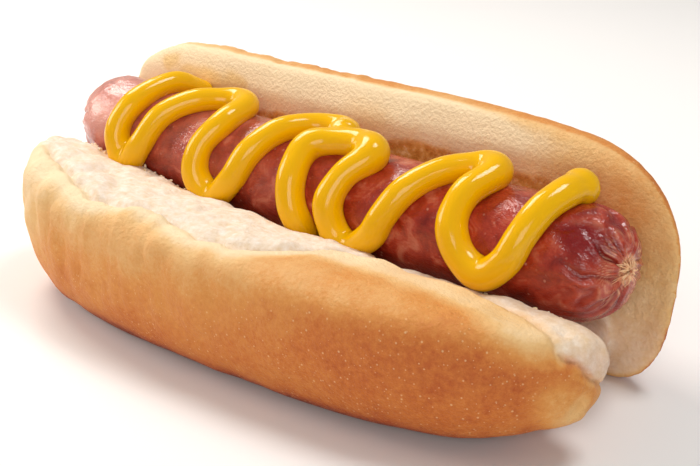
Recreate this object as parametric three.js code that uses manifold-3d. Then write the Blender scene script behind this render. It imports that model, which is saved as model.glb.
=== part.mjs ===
// A hot dog: a soft split roll lying open, one sausage bedded in the split, and mustard piped over it.
// Millimetres, +Z up, +X along the roll. The roll rests on the flats under its two halves at z = 0.
// Three solids: bun, sausage and mustard, each clear of the next by a hair's gap.

import * as THREE from 'three';
import { mergeVertices } from 'three/addons/utils/BufferGeometryUtils.js';
import Module from 'manifold-3d';

// ---- driving dimensions -------------------------------------------------------------------------

const GAP = 0.3;                  // air left between two solids that touch
const SLIVER = 0.08;              // cuts leave no edge finer than this
const REST_FLAT = 0.9;            // how much of each half's round underside is pressed flat

const SAUSAGE = {
  length: 150, radius: 12,
  middle: new THREE.Vector3(-6.2, 7.2, 29),
  lift: 2.5,                      // both ends rise this far above the middle
  yaw: 1.3, dip: -1,              // sideways and downward lean of the +X end
  capBluntness: 2.3,              // 2 is a round cap, more is blunter
  capLength: 13,
};

// The half towards -Y has fallen open, so its torn crumb face looks up.
const OPEN_HALF = {
  length: 153, middleX: -2, y: -22.2, yaw: 1.6,
  halfWidth: 16.2, halfHeight: 20, squareness: 2.4, taper: -0.09,
  endBluntness: 5.1,              // how square the ends are seen from above
  topBluntness: 18,               // and along the torn face
  endsPullIn: 0.5,                // the ends curl in towards the sausage by this share
  tornHeight: 31.2, tornFall: 0.23, tornRise: -0.02, tornRounding: 13,
  cornerLift: 6.5,                // the torn corner at the -X end stands proud
};

// The half towards +Y stands up behind the sausage, with its inner wall against it.
const BACK_HALF = {
  halfLength: 77.5, middleX: -5.5, yaw: 1.4,
  thickness: 18, halfHeight: 25.3,
  wallLean: 0.1,                  // the inner wall leans back as it rises
  wallRounding: 4.5, wallSquareness: 4,
  sideBluntness: 3, sideFullness: 0.75,
  farTopBluntness: 12,            // how square the inner face's outline is at its -X upper corner,
  nearTopBluntness: 5.5,          // at its +X upper corner
  footBluntness: 16,              // and at both lower corners
};

// The uncut strip under the sausage that holds the halves together.
const HINGE = { length: 128, y: 1, halfWidth: 26, top: 19.5, bottom: 0.8, endBluntness: 8, squareness: 2.6 };

// Mustard bead: its path as [place along x, angle round the sausage], 0 on top and 90 towards +Y.
const BEAD = { sink: 0.9, sides: 10, step: 3 };
const FIRST_BEAD = {
  radius: 2.9,
  path: [
    [-54, 42], [-55.5, 8], [-58, -42], [-59.5, -75], [-56.5, -102], [-51.5, -78], [-48, -44],
    [-43, -14], [-36, 14], [-31.5, 6], [-30.5, -28], [-33, -60], [-33, -86], [-28.5, -104],
    [-22, -80], [-19, -50], [-15.5, -18], [-10.5, 10], [-4.5, 18], [-1.5, 0],
  ],
};
const SECOND_BEAD = {
  radius: 3.1,
  path: [
    [-1, -110], [-4, -84], [-5.5, -56], [-5.5, -27], [-1, -14], [5.5, -7], [10, -18], [7.3, -46],
    [5.8, -75], [10, -108], [17.5, -90], [20, -70], [23, -44], [28, -14], [34.5, 10], [37.5, 0],
    [36, -34], [36.2, -62], [39.5, -84], [44.5, -95], [49.5, -80], [51.5, -58], [53, -32],
    [54.5, -4], [54.5, 20],
  ],
};

// ---- meshes and solids --------------------------------------------------------------------------

const wasm = await Module();
wasm.setup();

// Joins a row of closed rings into one closed skin, with a point in the middle of each end.
function loft(rings) {
  const around = rings[0].length;
  const positions = [];
  const indices = [];
  for (const ring of rings) {
    for (const point of ring) positions.push(point.x, point.y, point.z);
  }
  for (const ring of [rings[0], rings[rings.length - 1]]) {
    const centre = new THREE.Vector3();
    for (const point of ring) centre.addScaledVector(point, 1 / around);
    positions.push(centre.x, centre.y, centre.z);
  }
  const startCentre = rings.length * around;
  const lastRing = (rings.length - 1) * around;
  for (let j = 0; j < around; j += 1) {
    const next = (j + 1) % around;
    for (let i = 0; i < rings.length - 1; i += 1) {
      const here = i * around;
      const ahead = here + around;
      indices.push(here + j, here + next, ahead + next, here + j, ahead + next, ahead + j);
    }
    indices.push(startCentre, next, j);
    indices.push(startCentre + 1, lastRing + j, lastRing + next);
  }
  const geometry = new THREE.BufferGeometry();
  geometry.setAttribute('position', new THREE.Float32BufferAttribute(positions, 3));
  geometry.setIndex(indices);
  return geometry;
}

function toSolid(geometry) {
  const bare = geometry.clone();
  bare.deleteAttribute('normal');
  bare.deleteAttribute('uv');
  const merged = mergeVertices(bare, 1e-4);
  return new wasm.Manifold(new wasm.Mesh({
    numProp: 3,
    vertProperties: new Float32Array(merged.attributes.position.array),
    triVerts: new Uint32Array(merged.index.array),
  }));
}

// Slivers that the cuts leave along an edge are closed up here.
function toGeometry(solid) {
  const mesh = solid.simplify(SLIVER).getMesh();
  const geometry = new THREE.BufferGeometry();
  geometry.setAttribute('position', new THREE.BufferAttribute(mesh.vertProperties, 3));
  geometry.setIndex(new THREE.BufferAttribute(mesh.triVerts, 1));
  geometry.computeVertexNormals();
  return geometry;
}

function foodMesh(name, solid, colour, roughness) {
  const material = new THREE.MeshStandardMaterial({ color: colour, roughness, metalness: 0 });
  const mesh = new THREE.Mesh(toGeometry(solid), material);
  mesh.name = name;
  return mesh;
}

// Stations from -1 to 1 that crowd towards both ends, where the shapes round off.
function stations(count, reach) {
  return Array.from({ length: count }, (_, i) => -reach * Math.cos((Math.PI * i) / (count - 1)));
}

function superellipse(angle, power) {
  const across = Math.cos(angle);
  const up = Math.sin(angle);
  return {
    across: Math.sign(across) * Math.abs(across) ** (2 / power),
    up: Math.sign(up) * Math.abs(up) ** (2 / power),
  };
}

// The lower of two heights with the corner between them rounded over.
function softMin(a, b, rounding) {
  const blend = Math.max(rounding - Math.abs(a - b), 0) / rounding;
  return Math.min(a, b) - (blend * blend * rounding) / 4;
}

// ---- sausage ------------------------------------------------------------------------------------

// Centre line of the sausage at a place along x.
function sausageCentre(x) {
  const t = (x - SAUSAGE.middle.x) / (SAUSAGE.length / 2);
  return new THREE.Vector3(
    x,
    SAUSAGE.middle.y + SAUSAGE.yaw * t,
    SAUSAGE.middle.z + SAUSAGE.lift * t * t + SAUSAGE.dip * t,
  );
}

// A round bar with blunt caps, grown by a margin when it is used to cut its neighbours.
function sausageSolid(margin) {
  const around = 26;
  const half = SAUSAGE.length / 2 + margin;
  const capLength = SAUSAGE.capLength;
  const rings = stations(31, 0.9995).map((t) => {
    const x = SAUSAGE.middle.x + half * t;
    const intoCap = Math.max(half * Math.abs(t) - (half - capLength), 0) / capLength;
    const power = SAUSAGE.capBluntness;
    const radius = (SAUSAGE.radius + margin) * (1 - intoCap ** power) ** (1 / power);
    const centre = sausageCentre(x);
    return Array.from({ length: around }, (_, j) => {
      const angle = (2 * Math.PI * j) / around;
      return new THREE.Vector3(x, centre.y + radius * Math.cos(angle), centre.z + radius * Math.sin(angle));
    });
  });
  return toSolid(loft(rings));
}

// ---- mustard ------------------------------------------------------------------------------------

// A point at a distance from the sausage's centre line, by place along x and angle round it.
function aroundSausage([x, degrees], distance) {
  const angle = THREE.MathUtils.degToRad(degrees);
  const centre = sausageCentre(x);
  centre.y += distance * Math.sin(angle);
  centre.z += distance * Math.cos(angle);
  return centre;
}

// One piped bead: a round section drawn along its path, with a ball at each end.
function beadSolid(bead, margin) {
  const radius = bead.radius + margin;
  const distance = SAUSAGE.radius + bead.radius - BEAD.sink;
  const points = bead.path.map((place) => aroundSausage(place, distance));
  const curve = new THREE.CatmullRomCurve3(points, false, 'centripetal');
  const section = new THREE.Shape();
  for (let j = 0; j < BEAD.sides; j += 1) {
    const angle = (2 * Math.PI * j) / BEAD.sides;
    const corner = [radius * Math.cos(angle), radius * Math.sin(angle)];
    if (j === 0) section.moveTo(...corner);
    else section.lineTo(...corner);
  }
  section.closePath();
  const steps = Math.round(curve.getLength() / BEAD.step);
  const tube = new THREE.ExtrudeGeometry(section, { steps, bevelEnabled: false, extrudePath: curve });
  let solid = toSolid(tube);
  for (const end of [curve.getPoint(0), curve.getPoint(1)]) {
    const ball = new THREE.SphereGeometry(radius, BEAD.sides, BEAD.sides / 2);
    ball.translate(end.x, end.y, end.z);
    solid = solid.add(toSolid(ball));
  }
  return solid;
}

function mustardSolid(margin) {
  return beadSolid(FIRST_BEAD, margin).add(beadSolid(SECOND_BEAD, margin));
}

// ---- bun ----------------------------------------------------------------------------------------

// Lets a point sink no lower than the surface, which presses a flat under a round shape.
function pressed(x, y, z) {
  return new THREE.Vector3(x, y, Math.max(z - REST_FLAT, 0));
}

function openHalfSolid() {
  const half = OPEN_HALF;
  const around = 28;
  const rings = stations(33, 0.998).map((t) => {
    const x = half.middleX + (half.length / 2) * t;
    const size = Math.sqrt(1 - Math.abs(t) ** half.endBluntness) * (1 + half.taper * t);
    const topSize = Math.sqrt(1 - Math.abs(t) ** half.topBluntness) * (1 + half.taper * t);
    const middleY = half.y * (1 - half.endsPullIn * Math.abs(t) ** 3) + half.yaw * t;
    const lift = half.cornerLift * Math.max(-t, 0) ** 6;
    return Array.from({ length: around }, (_, j) => {
      const place = superellipse((2 * Math.PI * j) / around, half.squareness);
      const y = middleY + half.halfWidth * size * place.across;
      const z = half.halfHeight * (1 + (place.up > 0 ? topSize : size) * place.up);
      const torn = half.tornHeight + lift - half.tornFall * (y - half.y) + half.tornRise * x;
      return pressed(x, y, softMin(z, torn, half.tornRounding));
    });
  });
  return toSolid(loft(rings));
}

function backHalfSolid() {
  const half = BACK_HALF;
  const around = 32;
  const rings = stations(33, 0.998).map((t) => {
    const x = half.middleX + half.halfLength * t;
    const seat = sausageCentre(x);
    const thickness = half.thickness * (1 - Math.abs(t) ** half.sideBluntness) ** half.sideFullness;
    const topBluntness = t < 0 ? half.farTopBluntness : half.nearTopBluntness;
    const topHeight = half.halfHeight * Math.sqrt(1 - Math.abs(t) ** topBluntness);
    const footHeight = half.halfHeight * Math.sqrt(1 - Math.abs(t) ** half.footBluntness);
    const inner = Math.min(half.wallRounding, thickness * 0.45);
    return Array.from({ length: around }, (_, j) => {
      const angle = (2 * Math.PI * j) / around;
      const outside = Math.cos(angle) > 0;
      const place = superellipse(angle, outside ? 2 : half.wallSquareness);
      const reach = outside ? thickness - inner : inner;
      const z = half.halfHeight + (place.up > 0 ? topHeight : footHeight) * place.up;
      const wall = seat.y + SAUSAGE.radius + half.wallLean * (z - seat.z) + half.yaw * t;
      return pressed(x, wall + inner + reach * place.across, z);
    });
  });
  return toSolid(loft(rings));
}

function hingeSolid() {
  const around = 24;
  const rings = stations(25, 0.998).map((t) => {
    const size = Math.sqrt(1 - Math.abs(t) ** HINGE.endBluntness);
    const middle = (HINGE.top + HINGE.bottom) / 2;
    const halfHeight = (HINGE.top - HINGE.bottom) / 2;
    return Array.from({ length: around }, (_, j) => {
      const place = superellipse((2 * Math.PI * j) / around, HINGE.squareness);
      return new THREE.Vector3(
        (HINGE.length / 2) * t,
        HINGE.y + HINGE.halfWidth * size * place.across,
        middle + halfHeight * size * place.up,
      );
    });
  });
  return toSolid(loft(rings));
}

// ---- assembly -----------------------------------------------------------------------------------

const bun = openHalfSolid()
  .add(backHalfSolid())
  .add(hingeSolid())
  .subtract(sausageSolid(GAP))
  .subtract(mustardSolid(GAP));
const mustard = mustardSolid(0).subtract(sausageSolid(GAP));

const group = new THREE.Group();
group.add(foodMesh('bun', bun, 0xd9a066, 0.75));
group.add(foodMesh('sausage', sausageSolid(0), 0xa8503f, 0.35));
group.add(foodMesh('mustard', mustard, 0xe8b400, 0.3));

// The origin is under the middle of the whole, on the surface it lies on.
const box = new THREE.Box3().setFromObject(group);
const middle = box.getCenter(new THREE.Vector3());
group.position.set(-middle.x, -middle.y, -box.min.z);
group.updateMatrixWorld(true);

export default group;
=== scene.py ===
import math

import bpy
import numpy as np
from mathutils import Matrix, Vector


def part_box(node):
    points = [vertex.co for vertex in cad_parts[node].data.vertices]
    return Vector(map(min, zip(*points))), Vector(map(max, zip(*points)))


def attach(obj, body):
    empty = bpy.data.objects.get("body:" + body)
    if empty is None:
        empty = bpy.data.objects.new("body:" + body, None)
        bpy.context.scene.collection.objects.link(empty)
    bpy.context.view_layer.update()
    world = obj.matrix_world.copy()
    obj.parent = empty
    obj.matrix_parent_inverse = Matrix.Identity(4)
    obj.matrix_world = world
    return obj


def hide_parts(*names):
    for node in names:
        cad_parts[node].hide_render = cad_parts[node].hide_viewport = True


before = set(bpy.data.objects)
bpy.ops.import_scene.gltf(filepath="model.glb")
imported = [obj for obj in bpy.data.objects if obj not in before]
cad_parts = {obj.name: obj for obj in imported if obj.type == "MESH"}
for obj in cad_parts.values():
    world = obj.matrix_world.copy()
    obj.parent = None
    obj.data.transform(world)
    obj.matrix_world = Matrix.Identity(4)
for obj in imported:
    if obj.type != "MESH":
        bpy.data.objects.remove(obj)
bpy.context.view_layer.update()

bpy.ops.object.select_all(action="DESELECT")

# ---- Camera -------------------------------------------------------------------------------------
# Close to the roll's +X end and a little above it, so that the near end looms and the roll
# runs away to the left. The distance and lens are those of a hand-held food shot.

CAMERA_AZIMUTH = math.radians(40.5)
CAMERA_ELEVATION = math.radians(22.5)
CAMERA_DISTANCE = 0.2757
CAMERA_LENS = 66.9
CAMERA_AIM = Vector((0.0110, 0.0007, 0.0245))

towards_camera = Vector((
    math.sin(CAMERA_AZIMUTH) * math.cos(CAMERA_ELEVATION),
    -math.cos(CAMERA_AZIMUTH) * math.cos(CAMERA_ELEVATION),
    math.sin(CAMERA_ELEVATION),
))
bpy.ops.object.camera_add(location=CAMERA_AIM + CAMERA_DISTANCE * towards_camera)
camera = bpy.context.object
camera.rotation_euler = (-towards_camera).to_track_quat("-Z", "Y").to_euler()
camera.data.lens = CAMERA_LENS
camera.data.clip_start = 0.01
bpy.context.scene.camera = camera

# ---- Light and floor ----------------------------------------------------------------------------
# Four area soft boxes: a strong one behind the far end for the long highlights, a small one at the
# left, one overhead for the top, and a wide one in front for the shadows. The floor is white card.

WHITE_CARD = "#F7F5F2"
STUDIO_FILL = 0.28


def linear(hex_colour):
    """An sRGB hex colour as the linear RGBA that Blender works in."""
    channels = [int(hex_colour[i:i + 2], 16) / 255 for i in (1, 3, 5)]
    return [c / 12.92 if c <= 0.04045 else ((c + 0.055) / 1.055) ** 2.4 for c in channels] + [1.0]


def add_node(material, kind, settings=None, inputs=None):
    """Adds a shader node, sets its properties, and fills or links its inputs."""
    made = material.node_tree.nodes.new(kind)
    for name, value in (settings or {}).items():
        if name == "stops":
            ramp = made.color_ramp
            while len(ramp.elements) < len(value):
                ramp.elements.new(0.5)
            for element, (place, colour) in zip(ramp.elements, value):
                element.position = place
                element.color = colour
        else:
            setattr(made, name, value)
    for name, value in (inputs or {}).items():
        if isinstance(value, bpy.types.NodeSocket):
            material.node_tree.links.new(value, made.inputs[name])
        else:
            made.inputs[name].default_value = value
    return made


def new_material(name):
    """An empty node material with only its output."""
    material = bpy.data.materials.new(name)
    material.use_nodes = True
    material.node_tree.nodes.clear()
    return material


def finish_material(material, shader):
    output = add_node(material, "ShaderNodeOutputMaterial")
    material.node_tree.links.new(shader.outputs[0], output.inputs["Surface"])


bpy.ops.mesh.primitive_plane_add(size=6)
floor = bpy.context.object
floor.name = "floor_card"
card = new_material("white paper card, matt")
card_shader = add_node(card, "ShaderNodeBsdfPrincipled", inputs={
    "Base Color": linear(WHITE_CARD), "Roughness": 0.9, "Specular IOR Level": 0.2,
})
finish_material(card, card_shader)
floor.data.materials.append(card)

SOFT_BOXES = [
    # name, direction it stands in, distance, width, watts, colour
    ("soft_box_far_end", Vector((-0.66, 0.15, 0.77)), 0.60, 0.26, 2.0, "#FFF8F2"),
    ("soft_box_left", Vector((-0.85, -0.35, 0.42)), 0.50, 0.20, 0.8, "#FFF4EC"),
    ("soft_box_overhead", Vector((0.30, 0.20, 1.00)), 0.65, 0.20, 1.6, "#FFFFFF"),
    ("soft_box_front", Vector((0.55, -0.80, 0.42)), 0.90, 0.42, 2.1, "#FFFFFF"),
]
for name, direction, distance, width, watts, colour in SOFT_BOXES:
    bpy.ops.object.light_add(type="AREA", location=direction.normalized() * distance)
    box = bpy.context.object
    box.name = name
    box.rotation_euler = direction.to_track_quat("Z", "Y").to_euler()
    box.data.size = width
    box.data.energy = watts
    box.data.color = linear(colour)[:3]

world = bpy.data.worlds.new("studio")
bpy.context.scene.world = world
world.use_nodes = True
world.node_tree.nodes["Background"].inputs["Color"].default_value = (1.0, 1.0, 1.0, 1.0)
world.node_tree.nodes["Background"].inputs["Strength"].default_value = STUDIO_FILL
bpy.context.scene.view_settings.view_transform = "Standard"

# ---- Sausage ------------------------------------------------------------------------------------
# A thick smoked frankfurter, heated and wet with its own fat. Its casing is drawn together and
# twisted shut at both ends, which leaves a star of folds round a dry straw-coloured knot.

MM = 0.001
SAUSAGE_LIFT = 2.5 * MM
SAUSAGE_YAW = 1.3 * MM
SAUSAGE_DIP = -1.0 * MM
CAP_LENGTH = 13 * MM
CAP_BLUNTNESS = 2.3

sausage_low, sausage_high = (Vector(corner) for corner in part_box("sausage"))
sausage_half = (sausage_high.x - sausage_low.x) / 2
sausage_radius = (sausage_high.y - sausage_low.y) / 2 - SAUSAGE_YAW
sausage_middle = Vector((
    (sausage_low.x + sausage_high.x) / 2,
    (sausage_low.y + sausage_high.y) / 2,
    sausage_low.z + sausage_radius,
))


def sausage_centre(x):
    """The y and z of the sausage's centre line at each place along x."""
    along = (x - sausage_middle.x) / sausage_half
    y = sausage_middle.y + SAUSAGE_YAW * along
    z = sausage_middle.z + SAUSAGE_LIFT * along ** 2 + SAUSAGE_DIP * along
    return y, z


def sausage_girth(x):
    """The sausage's radius at each place along x, nothing past its ends."""
    from_middle = np.abs(x - sausage_middle.x)
    into_cap = np.clip((from_middle - sausage_half + CAP_LENGTH) / CAP_LENGTH, 0, 1)
    return sausage_radius * (1 - into_cap ** CAP_BLUNTNESS) ** (1 / CAP_BLUNTNESS)


NOISE_TURN = np.array([[0.36, 0.48, -0.80], [-0.80, 0.60, 0.00], [0.48, 0.64, 0.60]])


def unevenness(places, size, seed):
    """Smooth random bumps between -1 and 1, each about `size` across, at an array of places."""
    cell = (places / size) @ NOISE_TURN
    corner = np.floor(cell).astype(np.int64)
    part = cell - corner
    part = part * part * (3 - 2 * part)
    total = np.zeros(len(places))
    for step in range(8):
        shift = np.array([step & 1, step >> 1 & 1, step >> 2 & 1])
        grid = corner + shift
        code = grid[:, 0] * 73856093 ^ grid[:, 1] * 19349663 ^ grid[:, 2] * 83492791 ^ seed * 7919
        code = (code ^ code >> 13) * 1274126177 & 0x7FFFFFFF
        value = ((code ^ code >> 15) & 0xFFFF) / 32767.5 - 1
        total += value * np.prod(np.where(shift, part, 1 - part), axis=1)
    return total


def smooth_step(value, start, end):
    part = np.clip((value - start) / (end - start), 0, 1)
    return part * part * (3 - 2 * part)


def vertex_places(piece):
    places = np.empty(len(piece.data.vertices) * 3)
    piece.data.vertices.foreach_get("co", places)
    return places.reshape(-1, 3)


def vertex_normals(piece):
    normals = np.empty(len(piece.data.vertices) * 3)
    piece.data.vertices.foreach_get("normal", normals)
    return normals.reshape(-1, 3)


def move_vertices(piece, places):
    piece.data.vertices.foreach_set("co", np.ascontiguousarray(places).ravel())
    piece.data.update()


def paint(piece, name, values):
    """Keeps one number per vertex for the material to read."""
    layer = piece.data.attributes.new(name, "FLOAT", "POINT")
    layer.data.foreach_set("value", np.clip(values, 0, 1).astype(np.float32))


def face_outwards():
    """Turns all the active piece's faces to look out."""
    bpy.ops.object.mode_set(mode="EDIT")
    bpy.ops.mesh.select_all(action="SELECT")
    bpy.ops.mesh.normals_make_consistent(inside=False)
    bpy.ops.object.mode_set(mode="OBJECT")


def add_long_round(name, around, along, shape):
    """A ball with its poles along X, drawn out into the shape that shape(along, angle) gives."""
    bpy.ops.mesh.primitive_uv_sphere_add(segments=around, ring_count=along, radius=1)
    piece = bpy.context.object
    piece.name = name
    ball = vertex_places(piece)
    move_vertices(piece, shape(ball[:, 2], np.arctan2(ball[:, 1], ball[:, 0])))
    face_outwards()
    bpy.ops.object.shade_smooth()
    return piece


def sausage_skin(along, angle):
    x = sausage_middle.x + sausage_half * along
    y, z = sausage_centre(x)
    radius = sausage_girth(x)
    return np.stack([x, y + radius * np.cos(angle), z + radius * np.sin(angle)], axis=1)


sausage = add_long_round("sausage_in_casing", 150, 220, sausage_skin)

# Sculpting: the gathered ends, a sunken bruise where the casing folded, and soft lumps.
LUMP_SIZE, LUMP_HEIGHT = 13 * MM, 0.30 * MM
SMALL_LUMP_SIZE, SMALL_LUMP_HEIGHT = 4 * MM, 0.10 * MM
# Folds round each end: how many, how deep, and the angle at which they start.
FOLDS = [(9, 1.00 * MM, 0.4), (17, 0.70 * MM, 1.9), (29, 0.42 * MM, 0.9)]
FOLD_TWIST = 0.045 / MM
KNOT_SHIFT = np.array([0, -1.6 * MM, 1.3 * MM])
KNOT_SINK = 0.9 * MM
KNOT_PIT = (0.3 * MM, 3.2 * MM)
BRUISE_PLACE = np.array([66.5 * MM, 2.0 * MM, 37.0 * MM])
BRUISE_STRETCH = np.array([1.35, 1.0, 0.8])
BRUISE_SIZE = 6.5 * MM
BRUISE_DEPTH = 0.9 * MM

# The knot slides off centre on each end, and the skin slides over the cap with it.
skin = vertex_places(sausage)
skin_y, skin_z = sausage_centre(skin[:, 0])
tip_reach = np.hypot(
    np.hypot(skin[:, 2] - skin_z, skin[:, 1] - skin_y),
    sausage_half - np.abs(skin[:, 0] - sausage_middle.x),
)
near_tip = 1 - smooth_step(tip_reach, 0, CAP_LENGTH)
slide = near_tip[:, None] * np.sign(skin[:, :1]) * KNOT_SHIFT
skin += slide
across_cap = np.hypot(skin[:, 2] - skin_z, skin[:, 1] - skin_y) / sausage_radius
cap_height = 1 - np.clip(across_cap, 0, 1) ** CAP_BLUNTNESS
cap_x = sausage_half - CAP_LENGTH + CAP_LENGTH * cap_height ** (1 / CAP_BLUNTNESS)
slid = np.abs(slide).sum(axis=1) > 0
skin[slid, 0] = sausage_middle.x + np.sign(skin[slid, 0]) * cap_x[slid]
move_vertices(sausage, skin)
out = vertex_normals(sausage)
skin_y = skin_y + slide[:, 1]
skin_z = skin_z + slide[:, 2]
turn = np.arctan2(skin[:, 2] - skin_z, skin[:, 1] - skin_y)
off_axis = np.hypot(skin[:, 2] - skin_z, skin[:, 1] - skin_y)
from_tip = np.hypot(off_axis, sausage_half - np.abs(skin[:, 0] - sausage_middle.x))

lift = LUMP_HEIGHT * unevenness(skin, LUMP_SIZE, 1)
lift += SMALL_LUMP_HEIGHT * unevenness(skin, SMALL_LUMP_SIZE, 2)
lift *= smooth_step(from_tip, 1 * MM, 8 * MM)
ring = np.stack([np.cos(turn), np.sin(turn), np.sign(skin[:, 0])], axis=1)
wander = turn + 0.55 * unevenness(ring, 0.7, 3) + FOLD_TWIST * np.minimum(from_tip, 12 * MM)
wander += 0.30 * unevenness(skin, 3.5 * MM, 9)
gather = smooth_step(from_tip, 0.4 * MM, 4.0 * MM) * (1 - smooth_step(from_tip, 8 * MM, 20 * MM))
folds = sum(
    depth * (np.abs(np.sin(count / 2 * wander + start)) - 0.7) for count, depth, start in FOLDS
)
patchy = 0.60 + 0.60 * unevenness(skin, 5 * MM, 4)
lift += gather * patchy * folds
lift -= KNOT_SINK * (1 - smooth_step(from_tip, *KNOT_PIT))
from_bruise = np.linalg.norm((skin - BRUISE_PLACE) / BRUISE_STRETCH, axis=1)
from_bruise += 1.8 * MM * unevenness(skin, 2.6 * MM, 5)
bruise = 1 - smooth_step(from_bruise, 0.35 * BRUISE_SIZE, BRUISE_SIZE)
lift -= BRUISE_DEPTH * bruise
move_vertices(sausage, skin + out * lift[:, None])

# Where the casing is dry and straw-coloured, where a pale pink sheen is painted on the top of the
# far half, and where it is dark: the bruise, with painted shade in the valleys of the folds.
streaks = np.abs(np.sin(23 * wander + 1.3)) * 0.6 + np.abs(np.sin(38 * wander)) * 0.4
near_knot = 1 - smooth_step(from_tip, 0.8 * MM, 4.6 * MM)
thin_streaks = np.abs(np.sin(27 * wander + 0.7)) ** 6
thin_streaks *= 1 - smooth_step(from_tip, 3.5 * MM, 11 * MM)
thin_streaks *= smooth_step(unevenness(skin, 2.5 * MM, 6), -0.4, 0.3)
dry_knot = smooth_step(near_knot * 1.25 + streaks * 0.5, 0.62, 1.15) + 0.9 * thin_streaks
paint(sausage, "dry_knot", dry_knot)
# Painted highlight: a pale pink sheen over the top of the far half, for the haze of light off the
# wet skin there. It fades down the sides.
pink_end = 0.7 * smooth_step(-skin[:, 0], 48 * MM, 66 * MM)
pink_end += 0.28 * smooth_step(-skin[:, 0], -15 * MM, 40 * MM)
pink_end *= smooth_step(skin[:, 2] - skin_z, -7 * MM, 6 * MM)
pink_end *= 0.85 + 0.35 * unevenness(skin, 5 * MM, 7) + 0.25 * unevenness(skin, 1.8 * MM, 8)
paint(sausage, "pink_end", pink_end)
# Painted shade: the valleys of the folds round each knot are darkened, kept in the same mask as
# the bruise.
fold_valley_shade = smooth_step(-folds, 0, 0.6 * MM)
paint(sausage, "bruise", bruise + 0.8 * patchy * gather * fold_valley_shade)

# Smoked pork frankfurter in a natural casing: cured meat shows pink through a brown smoked skin,
# with paler fat under it. Wet fat on the skin gives small sharp highlights, broken by wrinkles.
# A pattern's scale is how many times it repeats in a metre, so that 620 is 1.6 mm.
COLOUR_PATCHES = 190.0
FAT_DOTS = 620.0
FAT_PATCHES = 260.0
SKIN_WRINKLES = 620.0
WET_WRINKLES = 400.0
# The Mix node's sockets for colour go by number, because those for numbers have the same names.
FACTOR, UNDER, OVER, MIXED = 0, 6, 7, 2

casing = new_material("smoked frankfurter in natural casing, wet")
place = add_node(casing, "ShaderNodeTexCoord").outputs["Object"]
patches = add_node(casing, "ShaderNodeTexNoise", inputs={
    "Vector": place, "Scale": COLOUR_PATCHES, "Detail": 4.0, "Roughness": 0.6, "Distortion": 0.6,
})
meat = add_node(casing, "ShaderNodeValToRGB", {"stops": [
    (0.30, linear("#7C1B0C")), (0.44, linear("#9C2C17")),
    (0.55, linear("#B33E26")), (0.68, linear("#CC7054")),
]}, {"Fac": patches.outputs["Fac"]})
fat = add_node(casing, "ShaderNodeTexVoronoi", inputs={
    "Vector": place, "Scale": FAT_DOTS, "Randomness": 1.0,
})
fat_dots = add_node(casing, "ShaderNodeMapRange", inputs={
    "Value": fat.outputs["Distance"],
    "From Min": 0.10, "From Max": 0.22, "To Min": 0.55, "To Max": 0.0,
})
fat_patches = add_node(casing, "ShaderNodeTexNoise", inputs={
    "Vector": place, "Scale": FAT_PATCHES, "Detail": 2.0,
})
fat_here = add_node(casing, "ShaderNodeMapRange", inputs={
    "Value": fat_patches.outputs["Fac"], "From Min": 0.50, "From Max": 0.66,
})
fat_amount = add_node(casing, "ShaderNodeMath", {"operation": "MULTIPLY"}, {
    0: fat_dots.outputs[0], 1: fat_here.outputs[0],
})
skin_colour = meat.outputs["Color"]
skin_colour = add_node(casing, "ShaderNodeMix", {"data_type": "RGBA"}, {
    FACTOR: fat_amount.outputs[0], UNDER: skin_colour, OVER: linear("#DDA48E"),
}).outputs[MIXED]
# Mixed over the meat: the dark bruise with painted shade in the fold valleys, the painted pale
# sheen, and the dry knot.
for mask_name, tint in (("bruise", "#860D08"), ("pink_end", "#DE9A88"), ("dry_knot", "#F0B284")):
    mask = add_node(casing, "ShaderNodeAttribute", {"attribute_name": mask_name})
    skin_colour = add_node(casing, "ShaderNodeMix", {"data_type": "RGBA"}, {
        FACTOR: mask.outputs["Fac"], UNDER: skin_colour, OVER: linear(tint),
    }).outputs[MIXED]
stretched = add_node(casing, "ShaderNodeMapping", inputs={
    "Vector": place, "Scale": (1.0, 1.8, 1.8),
})
wrinkles = add_node(casing, "ShaderNodeTexNoise", inputs={
    "Vector": stretched.outputs[0], "Scale": SKIN_WRINKLES,
    "Detail": 2.5, "Roughness": 0.5, "Distortion": 1.6,
})
wet_wrinkles = add_node(casing, "ShaderNodeTexNoise", inputs={
    "Vector": stretched.outputs[0], "Scale": WET_WRINKLES,
    "Detail": 3.0, "Roughness": 0.5, "Distortion": 1.6,
})
casing_bump = add_node(casing, "ShaderNodeBump", inputs={
    "Height": wrinkles.outputs["Fac"], "Strength": 0.35, "Distance": 0.8 * MM,
})
wet_bump = add_node(casing, "ShaderNodeBump", inputs={
    "Height": wet_wrinkles.outputs["Fac"], "Strength": 0.35, "Distance": 0.7 * MM,
})
casing_gloss = add_node(casing, "ShaderNodeMapRange", inputs={
    "Value": wrinkles.outputs["Fac"], "To Min": 0.22, "To Max": 0.5,
})
casing_shader = add_node(casing, "ShaderNodeBsdfPrincipled", inputs={
    "Base Color": skin_colour, "Roughness": casing_gloss.outputs[0],
    "Normal": casing_bump.outputs[0], "Coat Normal": wet_bump.outputs[0],
    "Subsurface Weight": 0.12, "Subsurface Radius": (0.003, 0.0009, 0.0005),
    "Subsurface Scale": 1.0,
    "Coat Weight": 0.95, "Coat Roughness": 0.06, "Specular IOR Level": 0.15,
})
finish_material(casing, casing_shader)
sausage.data.materials.append(casing)
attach(sausage, "root")
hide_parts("sausage")

# ---- Casing threads -----------------------------------------------------------------------------
# Where the casing was twisted off at each end it dried into stiff straw-coloured shreds, which
# radiate from the knot and lie flat in the folds, with a few standing proud.

THREADS = 34
THREAD_LENGTH = (1.8 * MM, 4.6 * MM)
THREAD_THICKNESS = 0.20 * MM
THREAD_PROUD = 0.9 * MM
EACH_PROUD = 6


def join_pieces(pieces, into):
    """Joins pieces into one of them, which keeps its name."""
    bpy.ops.object.select_all(action="DESELECT")
    for piece in pieces:
        piece.select_set(True)
    bpy.context.view_layer.objects.active = into
    bpy.ops.object.join()
    return into


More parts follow.
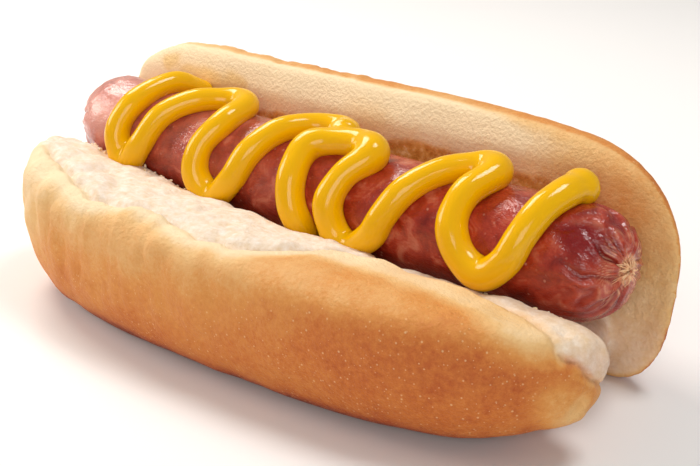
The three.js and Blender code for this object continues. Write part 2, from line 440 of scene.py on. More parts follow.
chance = np.random.default_rng(11)
threads = []
for side in (-1, 1):
    tip_x = sausage_middle.x + side * (sausage_half - KNOT_SINK)
    tip_y, tip_z = sausage_centre(np.array([tip_x]))
    tip_y, tip_z = tip_y + side * KNOT_SHIFT[1], tip_z + side * KNOT_SHIFT[2]
    for count in range(THREADS):
        angle = 2 * math.pi * (count + chance.uniform(-0.4, 0.4)) / THREADS
        length = chance.uniform(*THREAD_LENGTH)
        start = chance.uniform(0.2, 0.9) * MM
        proud = chance.uniform(0.10, 0.55) * MM + (THREAD_PROUD if count % EACH_PROUD == 0 else 0)
        bpy.ops.mesh.primitive_cone_add(
            vertices=5, radius1=THREAD_THICKNESS, radius2=0.25 * THREAD_THICKNESS, depth=1,
            location=(0, 0, 0.5),
        )
        thread = bpy.context.object
        bpy.ops.object.transform_apply(location=True)
        bpy.ops.object.mode_set(mode="EDIT")
        bpy.ops.mesh.select_all(action="SELECT")
        bpy.ops.mesh.subdivide(number_cuts=3)
        bpy.ops.object.mode_set(mode="OBJECT")
        # Each cone is drawn out from the knot, bent sideways and laid over the cap.
        cone = vertex_places(thread)
        reach = start + length * cone[:, 2]
        bend = angle + 0.35 * (cone[:, 2] ** 2) * chance.uniform(-1, 1)
        fall = KNOT_SINK * (1 - smooth_step(reach, *KNOT_PIT)) - 0.055 * reach ** 2 / MM
        arch = 0.35 + 0.65 * np.sin(math.pi * np.clip(cone[:, 2], 0, 1))
        outward = fall - KNOT_SINK + proud * arch
        move_vertices(thread, np.stack([
            tip_x + side * (KNOT_SINK + outward + cone[:, 0]),
            tip_y + reach * np.cos(bend) - cone[:, 1] * np.sin(bend),
            tip_z + reach * np.sin(bend) + cone[:, 1] * np.cos(bend),
        ], axis=1))
        threads.append(thread)
casing_threads = join_pieces(threads, into=threads[0])
casing_threads.name = "casing_threads"
face_outwards()
bpy.ops.object.shade_smooth()

# Dried natural casing: horny and translucent, pale straw where thick and reddish where it thins.
dry_casing = new_material("dried casing shreds, straw-coloured")
place = add_node(dry_casing, "ShaderNodeTexCoord").outputs["Object"]
straw = add_node(dry_casing, "ShaderNodeTexNoise", inputs={
    "Vector": place, "Scale": 700.0, "Detail": 2.0,
})
straw_colour = add_node(dry_casing, "ShaderNodeValToRGB", {"stops": [
    (0.32, linear("#D07B55")), (0.55, linear("#F6C998")),
]}, {"Fac": straw.outputs["Fac"]})
dry_shader = add_node(dry_casing, "ShaderNodeBsdfPrincipled", inputs={
    "Base Color": straw_colour.outputs["Color"], "Roughness": 0.4,
})
finish_material(dry_casing, dry_shader)
casing_threads.data.materials.append(dry_casing)
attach(casing_threads, "root")

# ---- Mustard ------------------------------------------------------------------------------------
# Yellow mustard squeezed from a bottle in one long zigzag. It stands up as a round bead, thicker
# where the hand turned back, and it runs together where two passes meet.

BEAD_SINK = 0.9 * MM
BEAD_STEP = 0.8 * MM
BEND_SWELL = 0.32
BEAD_WAVER = 0.06
BEAD_LEAST = 0.93
MUSTARD_VOXEL = 0.5 * MM
# Each bead's path: place along X in mm from the sausage's middle, and degrees round the sausage.
FIRST_BEAD = {
    "radius": 2.9 * MM,
    "path": [
        (-47.8, 42), (-49.3, 8), (-51.8, -42), (-53.3, -75), (-50.3, -102), (-45.3, -78),
        (-41.8, -44), (-36.8, -14), (-29.8, 14), (-25.3, 6), (-24.3, -28), (-26.8, -60),
        (-26.8, -86), (-22.3, -104), (-15.8, -80), (-12.8, -50), (-9.3, -18), (-4.3, 10),
        (1.7, 18), (4.7, 0),
    ],
}
SECOND_BEAD = {
    "radius": 3.1 * MM,
    "path": [
        (5.2, -110), (2.2, -84), (0.7, -56), (0.7, -27), (5.2, -14), (11.7, -7), (16.2, -18),
        (13.5, -46), (12, -75), (16.2, -108), (23.7, -90), (26.2, -70), (29.2, -44), (34.2, -14),
        (40.7, 10), (43.7, 0), (42.2, -34), (42.4, -62), (45.7, -84), (50.7, -95), (55.7, -80),
        (57.7, -58), (59.2, -32), (60.7, -4), (60.7, 20),
    ],
}


def apply_modifier(piece, kind, **settings):
    modifier = piece.modifiers.new(kind.lower(), kind)
    for name, value in settings.items():
        setattr(modifier, name, value)
    bpy.ops.object.modifier_apply(modifier=modifier.name)


def smooth_path(corners, step):
    """Points a step apart on a smooth curve through the corners."""
    corners = [np.array(corner, dtype=float) for corner in corners]
    corners = [2 * corners[0] - corners[1]] + corners + [2 * corners[-1] - corners[-2]]
    points = []
    for before, start, end, after in zip(corners, corners[1:], corners[2:], corners[3:]):
        spans = (start - before, end - start, after - end)
        gaps = [max(np.linalg.norm(span), 1e-9) ** 0.5 for span in spans]
        leave = spans[0] / gaps[0] - (end - before) / (gaps[0] + gaps[1]) + spans[1] / gaps[1]
        arrive = spans[1] / gaps[1] - (after - start) / (gaps[1] + gaps[2]) + spans[2] / gaps[2]
        leave, arrive = leave * gaps[1], arrive * gaps[1]
        count = max(int(np.linalg.norm(end - start) / step), 1)
        for part in np.arange(count) / count:
            points.append(
                (2 * part ** 3 - 3 * part ** 2 + 1) * start
                + (part ** 3 - 2 * part ** 2 + part) * leave
                + (3 * part ** 2 - 2 * part ** 3) * end
                + (part ** 3 - part ** 2) * arrive
            )
    return np.array(points + [corners[-2]])


def add_bead(name, bead):
    """A round bead of sauce along its path over the sausage."""
    distance = sausage_radius + bead["radius"] - BEAD_SINK
    corners = []
    for place, degrees in bead["path"]:
        x = sausage_middle.x + place * MM
        y, z = sausage_centre(x)
        angle = math.radians(degrees)
        corners.append((x, y + distance * math.sin(angle), z + distance * math.cos(angle)))
    points = smooth_path(corners, BEAD_STEP)
    bpy.ops.curve.primitive_nurbs_path_add()
    piece = bpy.context.object
    piece.name = name
    piece.data.splines.clear()
    spline = piece.data.splines.new("POLY")
    spline.points.add(len(points) - 1)
    spline.points.foreach_set("co", np.hstack([points, np.ones((len(points), 1))]).ravel())
    ahead = np.diff(points, axis=0, append=points[-1:])
    ahead /= np.maximum(np.linalg.norm(ahead, axis=1, keepdims=True), 1e-9)
    bend = np.linalg.norm(np.gradient(ahead, axis=0), axis=1) / BEAD_STEP * bead["radius"]
    bend = np.convolve(np.pad(bend, 3, mode="edge"), np.ones(7) / 7, mode="valid")
    waver = BEAD_WAVER * unevenness(points, 7 * MM, 15)
    spline.points.foreach_set("radius", BEAD_LEAST + BEND_SWELL * np.minimum(bend, 1) + waver)
    piece.data.bevel_depth = bead["radius"]
    piece.data.bevel_resolution = 6
    piece.data.use_fill_caps = True
    bpy.ops.object.convert(target="MESH")
    piece = bpy.context.object
    for end in (points[0], points[-1]):
        bpy.ops.mesh.primitive_uv_sphere_add(
            segments=20, ring_count=12, radius=bead["radius"], location=end,
        )
        bpy.ops.object.transform_apply(location=True)
        join_pieces([piece, bpy.context.object], into=piece)
    return piece


first_bead = add_bead("mustard_first_pass", FIRST_BEAD)
mustard = add_bead("mustard_bead", SECOND_BEAD)
join_pieces([first_bead, mustard], into=mustard)
apply_modifier(mustard, "REMESH", mode="VOXEL", voxel_size=MUSTARD_VOXEL)
apply_modifier(mustard, "SMOOTH", factor=0.5, iterations=8)
bpy.ops.object.shade_smooth()

# Ground mustard seed in vinegar: an opaque, smooth, wet paste that takes one clear highlight.
sauce = new_material("yellow mustard, smooth and glossy")
sauce_shader = add_node(sauce, "ShaderNodeBsdfPrincipled", inputs={
    "Base Color": linear("#EEB400"), "Roughness": 0.13, "Specular IOR Level": 0.35,
    "Subsurface Weight": 0.03, "Subsurface Radius": (0.0020, 0.0009, 0.0001),
    "Subsurface Scale": 1.0,
})
finish_material(sauce, sauce_shader)
mustard.data.materials.append(sauce)
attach(mustard, "root")
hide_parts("mustard")

# ---- Bun ----------------------------------------------------------------------------------------
# A soft milk roll split along its top and pulled open. The half in front has fallen outwards, so
# its torn crumb looks up, and the half behind stands against the sausage.

REST_FLAT = 0.9 * MM
SHIFT_X = sausage_middle.x + 6.2 * MM
SHIFT_Y = sausage_middle.y - 7.2 * MM
BUN_VOXEL = 0.68 * MM
SEAT_GAP = 0.15 * MM
# The three rounds that the roll is joined from, in mm: their middles and half sizes, and how high
# and steep the torn face in front is. A larger bluntness closes an end more squarely.
FRONT_X, FRONT_Y = -2, -22.2
FRONT_HALF_LENGTH, FRONT_HALF_WIDTH, FRONT_HALF_HEIGHT = 76.5, 16.2, 20
FRONT_BLUNTNESS, FRONT_TOP_BLUNTNESS = 5.1, 18
TORN_HEIGHT, TORN_SLOPE, TORN_ROUNDING = 30, 0.23, 13
BACK_X, BACK_HALF_LENGTH, BACK_HALF_HEIGHT = -5.5, 77.5, 25.3
BACK_THICKNESS, BACK_INNER_THICKNESS = 18, 4.5
BACK_BLUNTNESS, FAR_TOP_BLUNTNESS, NEAR_TOP_BLUNTNESS = 16, 12, 5.5
HINGE_Y, HINGE_Z = 1, 10.15
HINGE_HALF_LENGTH, HINGE_HALF_WIDTH, HINGE_HALF_HEIGHT = 64, 26, 9.35


def superellipse(angle, power):
    across, up = np.cos(angle), np.sin(angle)
    return np.sign(across) * np.abs(across) ** (2 / power), np.sign(up) * np.abs(up) ** (2 / power)


def soft_min(a, b, rounding):
    blend = np.maximum(rounding - np.abs(a - b), 0) / rounding
    return np.minimum(a, b) - blend * blend * rounding / 4


def ends_closed(along, bluntness):
    return np.sqrt(np.maximum(1 - np.abs(along) ** bluntness, 0))


def open_half(along, angle):
    taper = 1 - 0.09 * along
    size = ends_closed(along, FRONT_BLUNTNESS) * taper
    top_size = ends_closed(along, FRONT_TOP_BLUNTNESS) * taper
    across, up = superellipse(angle, 2.4)
    x = (FRONT_X + FRONT_HALF_LENGTH * along) * MM
    middle = FRONT_Y * (1 - 0.5 * np.abs(along) ** 3) + 1.6 * along
    y = (middle + FRONT_HALF_WIDTH * size * across) * MM
    z = FRONT_HALF_HEIGHT * (1 + np.where(up > 0, top_size, size) * up) * MM
    torn = (TORN_HEIGHT + 6.5 * np.maximum(-along, 0) ** 6) * MM
    torn = torn - TORN_SLOPE * (y - FRONT_Y * MM) - 0.02 * x
    z = soft_min(z, torn + 1.2 * MM, TORN_ROUNDING * MM)
    return np.stack([x + SHIFT_X, y + SHIFT_Y, np.maximum(z - REST_FLAT, 0)], axis=1)


def back_half(along, angle):
    x = (BACK_X + BACK_HALF_LENGTH * along) * MM + SHIFT_X
    seat_y, seat_z = sausage_centre(x)
    thickness = BACK_THICKNESS * (1 - np.abs(along) ** 3) ** 0.75 * MM
    inner = np.minimum(BACK_INNER_THICKNESS * MM, thickness * 0.45)
    outside = np.cos(angle) > 0
    across_out, up_out = superellipse(angle, 2)
    across_in, up_in = superellipse(angle, 4)
    across = np.where(outside, (thickness - inner) * across_out, inner * across_in)
    up = np.where(outside, up_out, up_in)
    far_top, near_top = (ends_closed(along, b) for b in (FAR_TOP_BLUNTNESS, NEAR_TOP_BLUNTNESS))
    top = np.where(along < 0, far_top, near_top)
    lift = np.where(up > 0, top, ends_closed(along, BACK_BLUNTNESS)) * up
    z = BACK_HALF_HEIGHT * MM * (1 + lift)
    wall = seat_y + sausage_radius + 0.1 * (z - seat_z) + 1.4 * along * MM
    return np.stack([x, wall + inner + across, np.maximum(z - REST_FLAT, 0)], axis=1)


def hinge(along, angle):
    size = ends_closed(along, 8)
    across, up = superellipse(angle, 2.6)
    x = HINGE_HALF_LENGTH * along * MM
    y = (HINGE_Y + HINGE_HALF_WIDTH * size * across) * MM
    z = (HINGE_Z + HINGE_HALF_HEIGHT * size * up) * MM
    return np.stack([x + SHIFT_X, y + SHIFT_Y, z], axis=1)


halves = [
    add_long_round("bun_open_half", 96, 120, open_half),
    add_long_round("bun_hinge", 48, 60, hinge),
    add_long_round("bun_roll", 96, 120, back_half),
]
bun = join_pieces(halves, into=halves[-1])
apply_modifier(bun, "REMESH", mode="VOXEL", voxel_size=BUN_VOXEL)
apply_modifier(bun, "SMOOTH", factor=0.5, iterations=10)
bpy.ops.object.shade_smooth()


def clear_of_sausage(places, gap):
    """Pushes what lies inside the sausage straight out to its skin, which presses the seat."""
    y, z = sausage_centre(places[:, 0])
    across, up = places[:, 1] - y, places[:, 2] - z
    distance = np.maximum(np.hypot(across, up), 1e-6)
    girth = sausage_girth(places[:, 0])
    wanted = np.where(girth > 0, np.maximum(distance, girth + gap), distance)
    pushed = places.copy()
    pushed[:, 1] = y + across * wanted / distance
    pushed[:, 2] = z + up * wanted / distance
    return pushed


def ridge(distance, width):
    """A rounded ridge: 1 where the distance is nothing, and nearly gone at twice the width."""
    return np.exp(-(distance / width) ** 2)


def distance_to_run(places, start, end):
    """How far each place is from the straight run between two points."""
    run = end - start
    part = np.clip((places - start) @ run / (run @ run), 0, 1)
    return np.linalg.norm(places - start - part[:, None] * run, axis=1)


# The edge between crust and torn crumb on the open half, along X and across Y, in mm.
CREASE = np.array([
    (-79, -13), (-72, -17), (-63, -20.5), (-58, -22.5), (-52, -24.5), (-44, -28), (-34, -31.5),
    (-25, -29.5), (-15, -28.5), (-7, -30), (-2, -31), (8, -30), (14, -26), (18, -21), (21, -14),
    (25, -12), (30, -10.5), (48, -10), (60, -11.5), (66, -13.5), (71, -15.5), (75, -18.5),
    (80, -20),
]) * MM
END_SLOPE = 1.2
WALL_BAND_TOP = 38.6 * MM

# The seat is pressed twice, and relaxed between, so that its edges are soft.
move_vertices(bun, clear_of_sausage(vertex_places(bun), 0.2 * MM))
apply_modifier(bun, "SMOOTH", factor=0.5, iterations=3)
move_vertices(bun, clear_of_sausage(vertex_places(bun), SEAT_GAP))
loaf = vertex_places(bun)
out = vertex_normals(bun)

# The open half's torn face, which turns down over the near end, and the seat's own torn crumb.
x, y, z = loaf.T
seat_y, seat_z = sausage_centre(x)
behind = smooth_step(y - seat_y, -2 * MM, 2 * MM)
crease_y = np.interp(x, CREASE[:, 0], CREASE[:, 1])
crease_y += 0.9 * MM * unevenness(loaf, 5 * MM, 21) + 0.4 * MM * unevenness(loaf, 1.8 * MM, 22)
end_face = smooth_step(np.abs(x), 62 * MM, 74 * MM)
past_crease = y - crease_y - end_face * END_SLOPE * np.maximum(25 * MM - z, 0)
faces_in = smooth_step(out[:, 2] + 0.9 * out[:, 1] + end_face, 0.05, 0.45)
near_end = smooth_step(x, 50 * MM, 66 * MM)
torn = smooth_step(past_crease, -(0.5 + near_end) * MM, (0.5 + 2 * near_end) * MM)
torn *= faces_in * (1 - behind)
between = 1 - smooth_step(np.abs(y - seat_y), 10.5 * MM, 12.5 * MM)
between *= smooth_step(out[:, 2], -0.65, -0.25)
torn = np.maximum(torn, between * (1 - smooth_step(z, 22 * MM, 26 * MM)))
off_sausage = np.hypot(y - seat_y, z - seat_z) - sausage_girth(x)

# The wall behind: torn crumb low down by the sausage, and a smooth pale shoulder above it.
# The torn band's top falls away towards the near end.
BAND_FALL = 0.0096 / MM
band_top = WALL_BAND_TOP + 1.3 * MM * unevenness(loaf, 9 * MM, 31)
band_top += 0.5 * MM * unevenness(loaf, 2.5 * MM, 32)
band_top -= BAND_FALL * np.maximum(x - 40 * MM, 0) ** 2
wall = behind * smooth_step(-out[:, 1], 0.15, 0.5)
low_wall = (1 - torn) * wall
low_wall *= 1 - smooth_step(z, band_top - 1.6 * MM, band_top + 1.2 * MM)
shoulder = wall * smooth_step(z, band_top - 1.0 * MM, band_top + 0.8 * MM)
crust = 1 - np.clip(torn + low_wall, 0, 1)

# Soft unevenness of the whole roll, then the skin's fine upright wrinkles.
SWELL, LUMP = 0.45 * MM, 0.20 * MM
WRINKLE, PUFF = 0.52 * MM, 1.5 * MM
CUSHION, TUFT = 1.35 * MM, 0.14 * MM
WALL_CUSHION, WALL_TUFT = 0.45 * MM, 0.30 * MM
rise = SWELL * unevenness(loaf, 23 * MM, 41) + LUMP * unevenness(loaf, 9 * MM, 42)
upright = loaf * np.array([1.0, 0.22, 0.22])
far_wrinkles = 0.25 + 0.75 * (1 - smooth_step(x, -30 * MM, 25 * MM))
far_wrinkles *= smooth_step(z, 5 * MM, 16 * MM)
up_near_crease = (1 - smooth_step(np.abs(past_crease + 5 * MM), 2 * MM, 9 * MM)) * (1 - behind)
wrinkle = 0.75 * unevenness(upright, 2.6 * MM, 43) + 0.45 * unevenness(upright, 1.3 * MM, 44)
rise += crust * (1 - 0.8 * wall) * far_wrinkles * WRINKLE * wrinkle
puffed = crust * up_near_crease * (0.4 + 0.6 * far_wrinkles)
puffed *= 1 - smooth_step(-x, 62 * MM, 72 * MM)
rise += puffed * PUFF * (np.abs(unevenness(loaf, 8 * MM, 45)) - 0.3)
# Torn crumb: plump cushions with sharp valleys, over finer ragged tufts.
cushions = np.abs(unevenness(loaf, 7.5 * MM, 51)) + 0.5 * np.abs(unevenness(loaf, 3.6 * MM, 52))
tufts = np.abs(unevenness(loaf, 1.5 * MM, 53)) + 0.4 * unevenness(loaf, 0.9 * MM, 54)
rise += torn * (1 - 0.6 * near_end) * (CUSHION * (cushions - 0.35) + TUFT * (tufts - 0.3))
rise += low_wall * (WALL_CUSHION * (cushions - 0.4) + WALL_TUFT * (tufts - 0.3))
# The shoulder swells over the torn band, which lies a little back from it.
SHOULDER_SWELL, SHOULDER_Z, SHOULDER_WIDTH = 0.8 * MM, 43.0 * MM, 3.4 * MM
BAND_DIP, BAND_DIP_Z, BAND_DIP_WIDTH = 0.5 * MM, 36.5 * MM, 2.5 * MM
swell = SHOULDER_SWELL * ridge(z - SHOULDER_Z, SHOULDER_WIDTH)
rise += wall * swell * (1 - 0.6 * smooth_step(x, 30 * MM, 60 * MM))
rise -= low_wall * BAND_DIP * ridge(z - BAND_DIP_Z, BAND_DIP_WIDTH)
# The crease between crust and crumb: a sharp cut in a wide dip, with the crust's edge curling up
# beside it. It fades out at the far end.
CUT_DEPTH, CUT_WIDTH = 1.2 * MM, 0.80 * MM
DIP_DEPTH, DIP_WIDTH = 0.7 * MM, 2.6 * MM
LIP_HEIGHT, LIP_WIDTH = 0.8 * MM, 1.3 * MM
up_facing = (1 - behind) * smooth_step(out[:, 2] + end_face, 0.3, 0.7)
up_facing *= (1 - smooth_step(-x, 60 * MM, 72 * MM)) * (1 - 0.5 * near_end)
deep = 0.55 + 0.45 * unevenness(loaf, 12 * MM, 61)
rise -= up_facing * (0.5 + deep) * CUT_DEPTH * ridge(past_crease - 0.1 * MM, CUT_WIDTH)
rise -= up_facing * DIP_DEPTH * ridge(past_crease - 0.3 * MM, DIP_WIDTH)
rise += up_facing * deep * LIP_HEIGHT * ridge(past_crease + 1.9 * MM, LIP_WIDTH)

# Hollows and tears in the near end: place, size and depth in mm.
END_HOLLOWS = [
    ((77.5, -10.0, 21.0), 2.6, 1.3), ((74.5, -13.0, 25.5), 2.2, 0.8),
    ((78.0, -8.0, 16.5), 2.4, 1.0), ((75.8, -15.5, 22.5), 1.3, 0.9),
    ((72.0, -13.5, 27.0), 1.6, 0.6), ((73.0, -18.5, 3.0), 2.2, 1.3),
    ((76.5, -13.0, 9.0), 4.5, -1.8),
]
for hollow, size, depth in END_HOLLOWS:
    reach = np.linalg.norm(loaf - np.array(hollow) * MM, axis=1)
    reach += 0.8 * MM * unevenness(loaf, 2 * MM, 71)
    rise -= depth * MM * ridge(reach, size * MM)

# Thin cracks in the crust, as points in mm, with their depth and half width.
CRACKS = [
    ([(60, -13.5, 26), (62, -19, 27), (64, -25.5, 27), (62.5, -28.5, 23.5)], 0.30, 0.45),
    ([(74.2, -16.2, 26.5), (74.8, -17.4, 24.6), (75.2, -17.6, 22.6)], 0.8, 0.6),
    ([(76.4, -15.4, 20.4), (77.4, -14.0, 19.4), (78.4, -11.0, 17.5)], 0.8, 0.6),
    ([(74.5, -17.0, 8.0), (76.0, -15.0, 11.0), (77.2, -13.5, 14.0)], 0.7, 1.1),
]
crack_edge = np.zeros(len(loaf))
for corners, depth, width in CRACKS:
    nearest = np.full(len(loaf), 1.0)
    for start, end in zip(corners, corners[1:]):
        to_run = distance_to_run(loaf, np.array(start) * MM, np.array(end) * MM)
        nearest = np.minimum(nearest, to_run)
    nearest += 0.3 * MM * unevenness(loaf, 1.6 * MM, 72)
    rise -= depth * MM * ridge(nearest, width * MM)
    crack_edge += depth * ridge(nearest - width * MM, 0.8 * width * MM)
# Nothing rises into the sausage or under the roll's flat foot.
pressed = smooth_step(off_sausage, 0.1 * MM, 1.2 * MM) * smooth_step(z, 0.2 * MM, 2.5 * MM)
loaf = clear_of_sausage(loaf + out * (rise * pressed)[:, None], SEAT_GAP)
loaf[:, 2] = np.maximum(loaf[:, 2], 0)
move_vertices(bun, loaf)

# How brown each place is, from 0 to 1: pale beside the tear, golden on the flanks, and brown where
# it met the tin.
# The same number also carries painted light and shade: the wall behind is painted paler, and a
# shadow is painted along the far crease.
FRONT_BAKE, BACK_BAKE = 0.64, 0.53
far_pale = 1 - smooth_step(x, -72 * MM, -20 * MM)
near_gold = smooth_step(x, 0, 50 * MM) * smooth_step(z, 8 * MM, 22 * MM)
near_gold *= 1 - 0.6 * smooth_step(z, 24 * MM, 30 * MM)
front_bake = FRONT_BAKE - 0.38 * smooth_step(z, 6 * MM, 34 * MM)
front_bake += 0.45 * (1 - smooth_step(z, 0.5 * MM, 7 * MM))
front_bake += 0.28 * near_gold - 0.20 * far_pale
pale_from = 6.5 * MM * smooth_step(x, 10 * MM, 30 * MM)
beside_tear = 1 - smooth_step(-past_crease, pale_from, pale_from + 7.5 * MM)
beside_tear *= smooth_step(z, 18 * MM, 26 * MM)
front_bake -= 0.40 * beside_tear * (1 - 0.2 * near_gold)

near_top = smooth_step(x, 10 * MM, 55 * MM)
top_edge = smooth_step(z, (48.3 - 4.3 * near_top) * MM, 50.5 * MM) * (0.5 + 0.5 * near_top)
near_wall_lightened = wall * smooth_step(x, 36 * MM, 58 * MM)
back_bake_and_light = BACK_BAKE + 0.10 * smooth_step(y, 24 * MM, 34 * MM)
back_bake_and_light += 0.20 * (1 - smooth_step(z, 5 * MM, 30 * MM)) - 0.28 * far_pale
back_bake_and_light -= 0.14 * smooth_step(z, 41 * MM, 49 * MM) * (1 - 0.5 * near_top)
# The shoulder is a pale crust of its own. On top of that the whole wall is painted paler, as
# painted light, because the main light reaches it from behind.
back_bake_and_light -= (0.38 * shoulder + 0.10 * wall) * (1 - near_wall_lightened) * (1 - 0.8 * top_edge)
# Painted light: the wall's near end is made paler still, most of all low down, where it lies in
# shade.
back_bake_and_light -= near_wall_lightened * (0.22 + 0.20 * (1 - smooth_step(z, 20 * MM, 34 * MM)))

bake = front_bake * (1 - behind) + back_bake_and_light * behind
bake += 0.07 * unevenness(loaf, 14 * MM, 81) + 0.05 * unevenness(loaf, 4 * MM, 82)
bake -= 0.20 * np.clip(crack_edge, 0, 1)
near_foot = near_end * (1 - behind) * (1 - smooth_step(z, 16 * MM, 22 * MM))
bake -= 0.30 * near_foot * smooth_step(x, 69 * MM, 75 * MM)
# Painted shadow: a thin browner line along the crease on the far part of the open half, where its
# narrow valley is in shade.
far_crease_shadow = up_facing * (1 - smooth_step(x, 8 * MM, 22 * MM))
bake += 0.35 * far_crease_shadow * ridge(past_crease + 0.1 * MM, 0.55 * MM)
paint(bun, "bake", bake)
paint(bun, "crumb", torn * (1 - 0.25 * near_end))
# Where the torn crumb on the wall behind takes its painted shade, less towards the near end.
paint(bun, "wall_crumb", low_wall * (1 - 0.85 * smooth_step(x, 38 * MM, 54 * MM)))

# A faint smear of mustard along the wall behind, as points in mm.
SMEAR = np.array([(-64, 20, 44), (-52, 20, 43.6), (-39, 20.4, 43)]) * MM
smear = np.zeros(len(loaf))
for start, end in zip(SMEAR, SMEAR[1:]):
    near = distance_to_run(loaf, start, end) + 1.1 * MM * unevenness(loaf, 3 * MM, 91)
    smear = np.maximum(smear, 1 - smooth_step(near, 1.2 * MM, 3.4 * MM))
paint(bun, "mustard_stain", smear)

# Milk-bread crust: baked to a thin, leathery, slightly sheeny skin with blisters as fine as pins.
# Torn crumb: matt, fluffy and nearly white, a little tan where its cells are open.
# Scales are repeats in a metre, so the blisters are 1 mm apart, coarse enough to show.
CRUST_MOTTLE = 700.0
BLISTERS = 1000.0
OPEN_CELLS = 520.0
CRUST_GRAIN = 1300.0
CRUMB_PITS = 850.0

bread = new_material("soft milk roll, baked crust and torn crumb")
place = add_node(bread, "ShaderNodeTexCoord").outputs["Object"]
bake_and_light_mask = add_node(bread, "ShaderNodeAttribute", {"attribute_name": "bake"})
wall_crumb_shade_mask = add_node(bread, "ShaderNodeAttribute", {"attribute_name": "wall_crumb"})
crumb_mask = add_node(bread, "ShaderNodeAttribute", {"attribute_name": "crumb"})
stain_mask = add_node(bread, "ShaderNodeAttribute", {"attribute_name": "mustard_stain"})

# The crust's colour follows how brown it is, with the painted light and shade carried in the same
# number, mottled most where it is brownest.
mottle = add_node(bread, "ShaderNodeTexNoise", inputs={
    "Vector": place, "Scale": CRUST_MOTTLE, "Detail": 5.0, "Roughness": 0.8,
})
mottle_bake = add_node(bread, "ShaderNodeMapRange", inputs={
    "Value": mottle.outputs["Fac"],
    "From Min": 0.25, "From Max": 0.75, "To Min": -0.08, "To Max": 0.08,
})
mottle_gain = add_node(bread, "ShaderNodeMath", {"operation": "MULTIPLY_ADD"}, {
    0: bake_and_light_mask.outputs["Fac"], 1: 2.2, 2: 0.2,
})
mottle_amount = add_node(bread, "ShaderNodeMath", {"operation": "MULTIPLY"}, {
    0: mottle_bake.outputs[0], 1: mottle_gain.outputs[0],
})
bake_and_light_sum = add_node(bread, "ShaderNodeMath", {"operation": "ADD"}, {
    0: bake_and_light_mask.outputs["Fac"], 1: mottle_amount.outputs[0],
})
crust_colour = add_node(bread, "ShaderNodeValToRGB", {"stops": [
    (0.02, linear("#F7DDB2")), (0.22, linear("#ECBE7E")), (0.45, linear("#DE9549")),
    (0.65, linear("#CC732F")), (0.82, linear("#B4521D")), (1.0, linear("#8C3813")),
]}, {"Fac": bake_and_light_sum.outputs[0]})

# Pale specks, each with its own size, only where the crust has browned: partly the crust's own
# blisters, partly painted glints of its sheen.
pins = add_node(bread, "ShaderNodeTexVoronoi", inputs={"Vector": place, "Scale": BLISTERS})
pin_chance = add_node(bread, "ShaderNodeTexWhiteNoise", {"noise_dimensions": "3D"}, {
    "Vector": pins.outputs["Position"],
})
pin_reach = add_node(bread, "ShaderNodeMath", {"operation": "DIVIDE"}, {
    0: pins.outputs["Distance"], 1: pin_chance.outputs["Value"],
})
pin_size = add_node(bread, "ShaderNodeMapRange", inputs={
    "Value": pin_reach.outputs[0],
    "From Min": 0.10, "From Max": 0.30, "To Min": 1.0, "To Max": 0.0,
})
pin_baked = add_node(bread, "ShaderNodeMapRange", inputs={
    "Value": bake_and_light_mask.outputs["Fac"], "From Min": 0.32, "From Max": 0.6,
})
pin_mask = add_node(bread, "ShaderNodeMath", {"operation": "MULTIPLY"}, {
    0: pin_size.outputs[0], 1: pin_baked.outputs[0],
})
blister_and_glint = add_node(bread, "ShaderNodeMath", {"operation": "MULTIPLY"}, {
    0: pin_mask.outputs[0], 1: 0.6,
})

# Torn crumb. On the wall behind it is painted tan, as painted shade and the painted warm
# reflection of the sausage and mustard, with the smear over it.
open_cells = add_node(bread, "ShaderNodeTexNoise", inputs={
    "Vector": place, "Scale": OPEN_CELLS, "Detail": 4.0, "Roughness": 0.65,
})
shaded_wall_crumb_colour = add_node(bread, "ShaderNodeValToRGB", {"stops": [
    (0.34, linear("#C07F30")), (0.52, linear("#DFA654")), (0.68, linear("#F3D098")),
]}, {"Fac": open_cells.outputs["Fac"]})
crumb_colour = add_node(bread, "ShaderNodeValToRGB", {"stops": [
    (0.30, linear("#E4CBAA")), (0.5, linear("#EDDAC4")), (0.7, linear("#F4E8DA")),
]}, {"Fac": open_cells.outputs["Fac"]})
stain_soft = add_node(bread, "ShaderNodeMath", {"operation": "MULTIPLY"}, {
    0: stain_mask.outputs["Fac"], 1: 0.6,
})
bread_colour = crust_colour.outputs["Color"]
for amount, over in (
    (blister_and_glint.outputs[0], linear("#F5D7A0")),
    (wall_crumb_shade_mask.outputs["Fac"], shaded_wall_crumb_colour.outputs["Color"]),
    (crumb_mask.outputs["Fac"], crumb_colour.outputs["Color"]),
    (stain_soft.outputs[0], linear("#E6B758")),
):
    bread_colour = add_node(bread, "ShaderNodeMix", {"data_type": "RGBA"}, {
        FACTOR: amount, UNDER: bread_colour, OVER: over,
    }).outputs[MIXED]

# Fine relief: grain and blisters on the crust, and soft pits in the crumb.
skin_grain = add_node(bread, "ShaderNodeTexNoise", inputs={
    "Vector": place, "Scale": CRUST_GRAIN, "Detail": 4.0, "Roughness": 0.6,
})
grain_and_pins = add_node(bread, "ShaderNodeMath", {"operation": "MULTIPLY_ADD"}, {
    0: pin_mask.outputs[0], 1: 0.22, 2: skin_grain.outputs["Fac"],
})
cell_pits = add_node(bread, "ShaderNodeTexVoronoi", {"feature": "SMOOTH_F1"}, {
    "Vector": place, "Scale": CRUMB_PITS, "Smoothness": 0.4,
})
soft_grain = add_node(bread, "ShaderNodeMath", {"operation": "MULTIPLY"}, {
    0: skin_grain.outputs["Fac"], 1: 0.6,
})
torn_fine = add_node(bread, "ShaderNodeMath", {"operation": "MULTIPLY_ADD"}, {
    0: cell_pits.outputs["Distance"], 1: 0.20, 2: soft_grain.outputs[0],
})
torn_height = add_node(bread, "ShaderNodeMath", {"operation": "MULTIPLY_ADD"}, {
    0: open_cells.outputs["Fac"], 1: 0.15, 2: torn_fine.outputs[0],
})
soft_places = add_node(bread, "ShaderNodeMath", {"operation": "ADD", "use_clamp": True}, {
    0: crumb_mask.outputs["Fac"], 1: wall_crumb_shade_mask.outputs["Fac"],
})
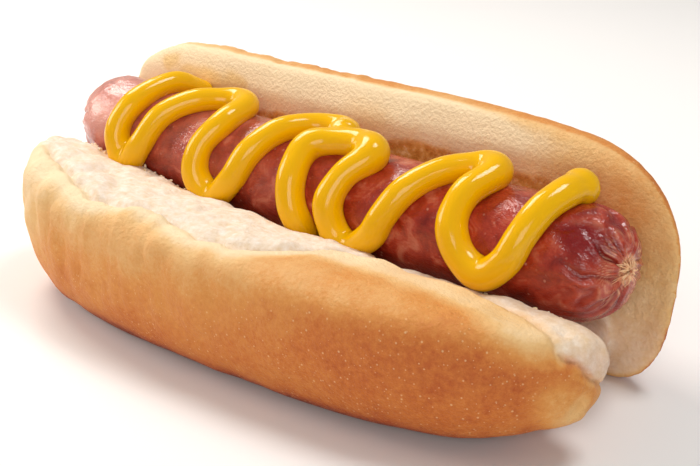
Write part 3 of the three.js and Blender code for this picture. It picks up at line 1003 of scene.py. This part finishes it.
# With plain numbers the Mix node's two inputs are its second and third.
height = add_node(bread, "ShaderNodeMix", {"data_type": "FLOAT"}, {
    FACTOR: soft_places.outputs[0], 2: grain_and_pins.outputs[0], 3: torn_height.outputs[0],
})
bread_bump = add_node(bread, "ShaderNodeBump", inputs={
    "Height": height.outputs[0], "Strength": 0.8, "Distance": 0.6 * MM,
})
bread_rough = add_node(bread, "ShaderNodeMapRange", inputs={
    "Value": soft_places.outputs[0], "To Min": 0.52, "To Max": 0.95,
})
bread_shader = add_node(bread, "ShaderNodeBsdfPrincipled", inputs={
    "Base Color": bread_colour, "Roughness": bread_rough.outputs[0],
    "Normal": bread_bump.outputs[0], "Specular IOR Level": 0.3,
})
finish_material(bread, bread_shader)
bun.data.materials.append(bread)
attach(bun, "root")
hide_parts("bun")

# ---- Bread crumbs -------------------------------------------------------------------------------
# Small soft crumbs left by the tearing. They lie along the torn rim beside the sausage.

CRUMBS = 150
CRUMB_SIZE = (0.16 * MM, 0.46 * MM)
RIM_REACH = (0.1 * MM, 3.2 * MM)
RIM_HEIGHT = 22 * MM

torn_rim = (torn > 0.8) & (out[:, 2] > 0.2) & (z > RIM_HEIGHT)
torn_rim &= (off_sausage > RIM_REACH[0]) & (off_sausage < RIM_REACH[1])
rim_places = np.flatnonzero(torn_rim)
chance = np.random.default_rng(23)
crumbs = []
for spot in chance.choice(rim_places, CRUMBS, replace=False):
    size = chance.uniform(*CRUMB_SIZE)
    bpy.ops.mesh.primitive_ico_sphere_add(subdivisions=2, radius=size)
    crumb_piece = bpy.context.object
    ball = vertex_places(crumb_piece)
    knobbly = 1 + 0.45 * unevenness(ball + loaf[spot] * 3, 1.3 * size, 5)
    stretch = chance.uniform(0.6, 1.3, 3)
    sunk_in = loaf[spot] + out[spot] * 0.25 * size
    move_vertices(crumb_piece, ball * knobbly[:, None] * stretch + sunk_in)
    crumbs.append(crumb_piece)
bread_crumbs = join_pieces(crumbs, into=crumbs[0])
bread_crumbs.name = "bread_crumbs"
bpy.ops.object.shade_smooth()

# The same white crumb as inside the roll, a little drier and so a little yellower.
loose_crumb = new_material("loose white bread crumbs")
place = add_node(loose_crumb, "ShaderNodeTexCoord").outputs["Object"]
crumb_tone = add_node(loose_crumb, "ShaderNodeTexNoise", inputs={
    "Vector": place, "Scale": 500.0, "Detail": 2.0,
})
crumb_tones = add_node(loose_crumb, "ShaderNodeValToRGB", {"stops": [
    (0.35, linear("#E9C998")), (0.6, linear("#FAEAD2")),
]}, {"Fac": crumb_tone.outputs["Fac"]})
loose_shader = add_node(loose_crumb, "ShaderNodeBsdfPrincipled", inputs={
    "Base Color": crumb_tones.outputs["Color"], "Roughness": 0.9, "Specular IOR Level": 0.3,
})
finish_material(loose_crumb, loose_shader)
bread_crumbs.data.materials.append(loose_crumb)
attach(bread_crumbs, "root")
